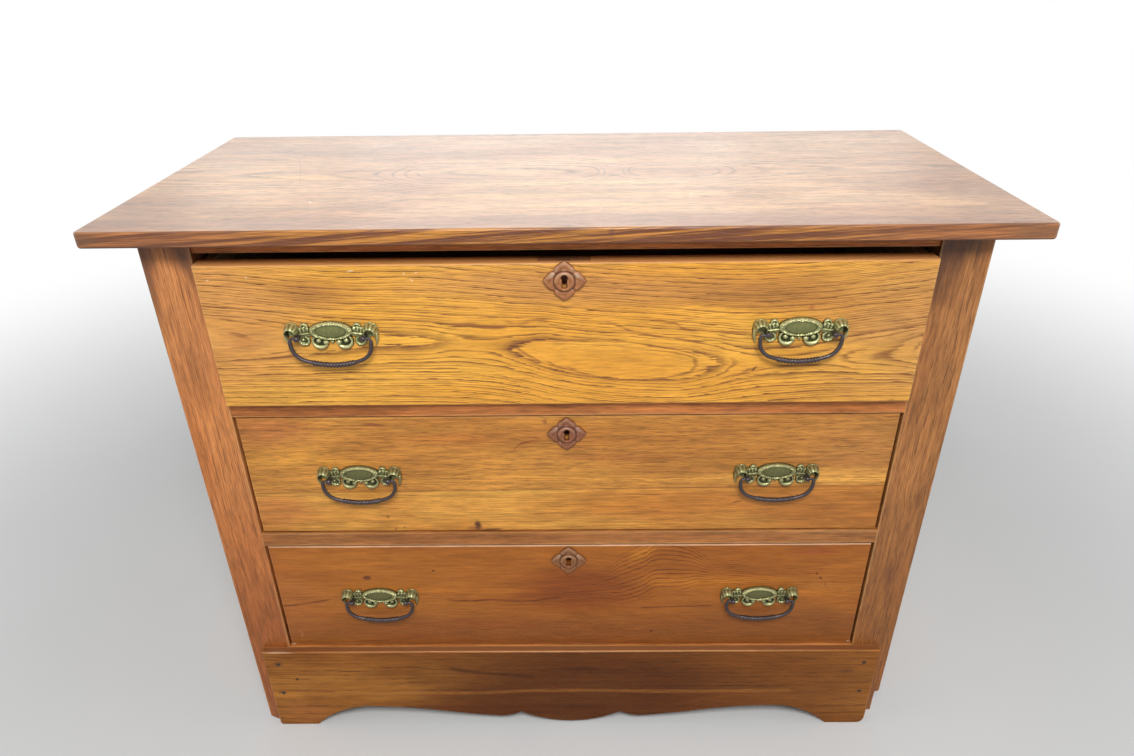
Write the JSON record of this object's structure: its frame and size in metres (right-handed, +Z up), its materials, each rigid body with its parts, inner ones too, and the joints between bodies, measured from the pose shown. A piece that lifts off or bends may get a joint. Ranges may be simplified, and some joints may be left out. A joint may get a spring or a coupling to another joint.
{
  "type": "chest of drawers",
  "caption": "Low oak chest of long drawers with an overhanging top, framed sides, dovetailed drawers, cast drop pulls, carved escutcheons, drawer locks and a scalloped apron.",
  "frame": {"origin": "on the floor under the centre of the top board", "axes": "+Z up, +X to the right, +Y to the back, so the drawers open towards -Y"},
  "size_m": [1.067, 0.475, 0.826],
  "materials": {
    "top_oak": "old glossy varnish",
    "frame_oak": "satin varnish",
    "apron_oak": "satin varnish",
    "upper_front_oak": "satin varnish",
    "middle_front_oak": "satin varnish",
    "lower_front_oak": "satin varnish",
    "carved_oak": "worn varnish",
    "inner_wood": "bare wood",
    "aged_brass": "cast, with green patina",
    "dark_bronze": "dark tarnish",
    "lock_steel": "dull",
    "nail_iron": "rusted"
  },
  "bodies": {
    "carcass": {"top_board": "top_oak", "front_stile_left": "frame_oak", "front_stile_right": "frame_oak", "top_front_rail": "frame_oak", "upper_drawer_rail": "frame_oak", "lower_drawer_rail": "frame_oak", "bottom_front_rail": "frame_oak", "back_post_left": "frame_oak", "back_post_right": "frame_oak", "side_top_rail_left": "frame_oak", "side_top_rail_right": "frame_oak", "side_bottom_rail_left": "frame_oak", "side_bottom_rail_right": "frame_oak", "side_panel_left": "frame_oak", "side_panel_right": "frame_oak", "front_apron": "apron_oak", "apron_nails": "nail_iron", "back_boards": "inner_wood", "back_top_rail": "inner_wood", "back_bottom_rail": "inner_wood", "drawer_runners": "inner_wood", "drawer_guides": "inner_wood", "drawer_kickers": "inner_wood", "drawer_stops": "inner_wood"},
    "upper_drawer": {"upper_drawer_front": "upper_front_oak", "upper_drawer_side_left": "inner_wood", "upper_drawer_side_right": "inner_wood", "upper_drawer_back": "inner_wood", "upper_drawer_bottom": "inner_wood", "upper_drawer_lock": "lock_steel", "upper_escutcheon": "carved_oak", "upper_pull_plates": "aged_brass", "upper_pull_posts": "dark_bronze"},
    "upper_lock_bolt": {"upper_lock_bolt": "lock_steel"},
    "upper_bail_left": {"upper_bail_left": "dark_bronze"},
    "upper_bail_right": {"upper_bail_right": "dark_bronze"},
    "middle_drawer": {"middle_drawer_front": "middle_front_oak", "middle_drawer_side_left": "inner_wood", "middle_drawer_side_right": "inner_wood", "middle_drawer_back": "inner_wood", "middle_drawer_bottom": "inner_wood", "middle_drawer_lock": "lock_steel", "middle_escutcheon": "carved_oak", "middle_pull_plates": "aged_brass", "middle_pull_posts": "dark_bronze"},
    "middle_lock_bolt": {"middle_lock_bolt": "lock_steel"},
    "middle_bail_left": {"middle_bail_left": "dark_bronze"},
    "middle_bail_right": {"middle_bail_right": "dark_bronze"},
    "lower_drawer": {"lower_drawer_front": "lower_front_oak", "lower_drawer_side_left": "inner_wood", "lower_drawer_side_right": "inner_wood", "lower_drawer_back": "inner_wood", "lower_drawer_bottom": "inner_wood", "lower_drawer_lock": "lock_steel", "lower_escutcheon": "carved_oak", "lower_pull_plates": "aged_brass", "lower_pull_posts": "dark_bronze"},
    "lower_lock_bolt": {"lower_lock_bolt": "lock_steel"},
    "lower_bail_left": {"lower_bail_left": "dark_bronze"},
    "lower_bail_right": {"lower_bail_right": "dark_bronze"}
  },
  "joints": [
    {"name": "upper_drawer_slide", "type": "slide", "parent": "carcass", "child": "upper_drawer", "axis": [0, -1, 0], "range_m": [-0.014, 0.296]},
    {"name": "upper_lock_bolt_slide", "type": "slide", "parent": "upper_drawer", "child": "upper_lock_bolt", "axis": [0, 0, 1], "range_m": [0, 0.0145]},
    {"name": "upper_bail_left_swing", "type": "hinge", "parent": "upper_drawer", "child": "upper_bail_left", "pos_m": [-0.275, -0.2295, 0.692], "axis": [-1, 0, 0], "range_deg": [-8, 85]},
    {"name": "upper_bail_right_swing", "type": "hinge", "parent": "upper_drawer", "child": "upper_bail_right", "pos_m": [0.275, -0.2295, 0.692], "axis": [-1, 0, 0], "range_deg": [-8, 85]},
    {"name": "middle_drawer_slide", "type": "slide", "parent": "carcass", "child": "middle_drawer", "axis": [0, -1, 0], "range_m": [0, 0.31]},
    {"name": "middle_lock_bolt_slide", "type": "slide", "parent": "middle_drawer", "child": "middle_lock_bolt", "axis": [0, 0, 1], "range_m": [0, 0.009]},
    {"name": "middle_bail_left_swing", "type": "hinge", "parent": "middle_drawer", "child": "middle_bail_left", "pos_m": [-0.275, -0.2155, 0.4765], "axis": [-1, 0, 0], "range_deg": [-8, 85]},
    {"name": "middle_bail_right_swing", "type": "hinge", "parent": "middle_drawer", "child": "middle_bail_right", "pos_m": [0.275, -0.2155, 0.4765], "axis": [-1, 0, 0], "range_deg": [-8, 85]},
    {"name": "lower_drawer_slide", "type": "slide", "parent": "carcass", "child": "lower_drawer", "axis": [0, -1, 0], "range_m": [0, 0.31]},
    {"name": "lower_lock_bolt_slide", "type": "slide", "parent": "lower_drawer", "child": "lower_lock_bolt", "axis": [0, 0, 1], "range_m": [0, 0.009]},
    {"name": "lower_bail_left_swing", "type": "hinge", "parent": "lower_drawer", "child": "lower_bail_left", "pos_m": [-0.275, -0.2155, 0.2604], "axis": [-1, 0, 0], "range_deg": [-8, 85]},
    {"name": "lower_bail_right_swing", "type": "hinge", "parent": "lower_drawer", "child": "lower_bail_right", "pos_m": [0.275, -0.2155, 0.2604], "axis": [-1, 0, 0], "range_deg": [-8, 85]}
  ]
}
